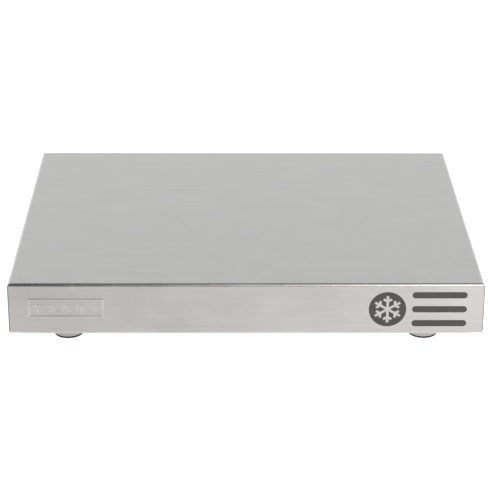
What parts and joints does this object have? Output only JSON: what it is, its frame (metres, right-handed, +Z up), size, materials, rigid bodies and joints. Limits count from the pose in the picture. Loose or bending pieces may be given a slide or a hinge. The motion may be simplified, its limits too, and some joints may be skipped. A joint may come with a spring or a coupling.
{
  "type": "cooling plate",
  "caption": "Flat rectangular stainless steel cooling plate for a cold buffet, with gel packs and foam inside and screw-adjusted levelling feet.",
  "frame": {"origin": "middle of the footprint, on the surface that the feet stand on", "axes": "+X along the front to the right, +Y from the front to the rear, +Z up"},
  "size_m": [0.325, 0.2653, 0.049],
  "materials": {
    "body_steel": "satin",
    "base_steel": "satin",
    "fastener_steel": "satin",
    "foot_metal": "satin",
    "foot_rubber": "matte",
    "print_ink": "matte",
    "gasket_silicone": "matte",
    "foam": "matte",
    "pack_plastic": "satin",
    "pack_gel": "gloss",
    "plug_plastic": "satin"
  },
  "bodies": {
    "root": {"top_cover": "body_steel", "front_print": "print_ink", "base_plate": "base_steel", "base_gasket": "gasket_silicone", "base_screws": "fastener_steel", "flange_nuts": "fastener_steel", "foam_frame": "foam", "foam_board": "foam", "foot_nuts": "fastener_steel", "pack_shell_left": "pack_plastic", "pack_gel_left": "pack_gel", "pack_plug_left": "plug_plastic", "pack_shell_right": "pack_plastic", "pack_gel_right": "pack_gel", "pack_plug_right": "plug_plastic"},
    "foot_front_left": {"foot_cup_front_left": "foot_metal", "foot_pad_front_left": "foot_rubber"},
    "stud_front_left": {"foot_stud_front_left": "fastener_steel"},
    "foot_front_right": {"foot_cup_front_right": "foot_metal", "foot_pad_front_right": "foot_rubber"},
    "stud_front_right": {"foot_stud_front_right": "fastener_steel"},
    "foot_rear_left": {"foot_cup_rear_left": "foot_metal", "foot_pad_rear_left": "foot_rubber"},
    "stud_rear_left": {"foot_stud_rear_left": "fastener_steel"},
    "foot_rear_right": {"foot_cup_rear_right": "foot_metal", "foot_pad_rear_right": "foot_rubber"},
    "stud_rear_right": {"foot_stud_rear_right": "fastener_steel"}
  },
  "joints": [
    {"name": "foot_front_left_height", "type": "slide", "parent": "root", "child": "foot_front_left", "axis": [0, 0, -1], "range_m": [-0.0015, 0.0045]},
    {"name": "stud_front_left_turn", "type": "hinge", "parent": "foot_front_left", "child": "stud_front_left", "pos_m": [-0.124, -0.1045, 0], "axis": [0, 0, -1], "range_deg": [-540, 1620]},
    {"name": "foot_front_right_height", "type": "slide", "parent": "root", "child": "foot_front_right", "axis": [0, 0, -1], "range_m": [-0.0015, 0.0045]},
    {"name": "stud_front_right_turn", "type": "hinge", "parent": "foot_front_right", "child": "stud_front_right", "pos_m": [0.124, -0.1045, 0], "axis": [0, 0, -1], "range_deg": [-540, 1620]},
    {"name": "foot_rear_left_height", "type": "slide", "parent": "root", "child": "foot_rear_left", "axis": [0, 0, -1], "range_m": [-0.0015, 0.0045]},
    {"name": "stud_rear_left_turn", "type": "hinge", "parent": "foot_rear_left", "child": "stud_rear_left", "pos_m": [-0.124, 0.1045, 0], "axis": [0, 0, -1], "range_deg": [-540, 1620]},
    {"name": "foot_rear_right_height", "type": "slide", "parent": "root", "child": "foot_rear_right", "axis": [0, 0, -1], "range_m": [-0.0015, 0.0045]},
    {"name": "stud_rear_right_turn", "type": "hinge", "parent": "foot_rear_right", "child": "stud_rear_right", "pos_m": [0.124, 0.1045, 0], "axis": [0, 0, -1], "range_deg": [-540, 1620]}
  ],
  "couplings": [
    {"joint": "stud_front_left_turn", "follows": "foot_front_left_height", "rad_per_m": 6283.2},
    {"joint": "stud_front_right_turn", "follows": "foot_front_right_height", "rad_per_m": 6283.2},
    {"joint": "stud_rear_left_turn", "follows": "foot_rear_left_height", "rad_per_m": 6283.2},
    {"joint": "stud_rear_right_turn", "follows": "foot_rear_right_height", "rad_per_m": 6283.2}
  ]
}
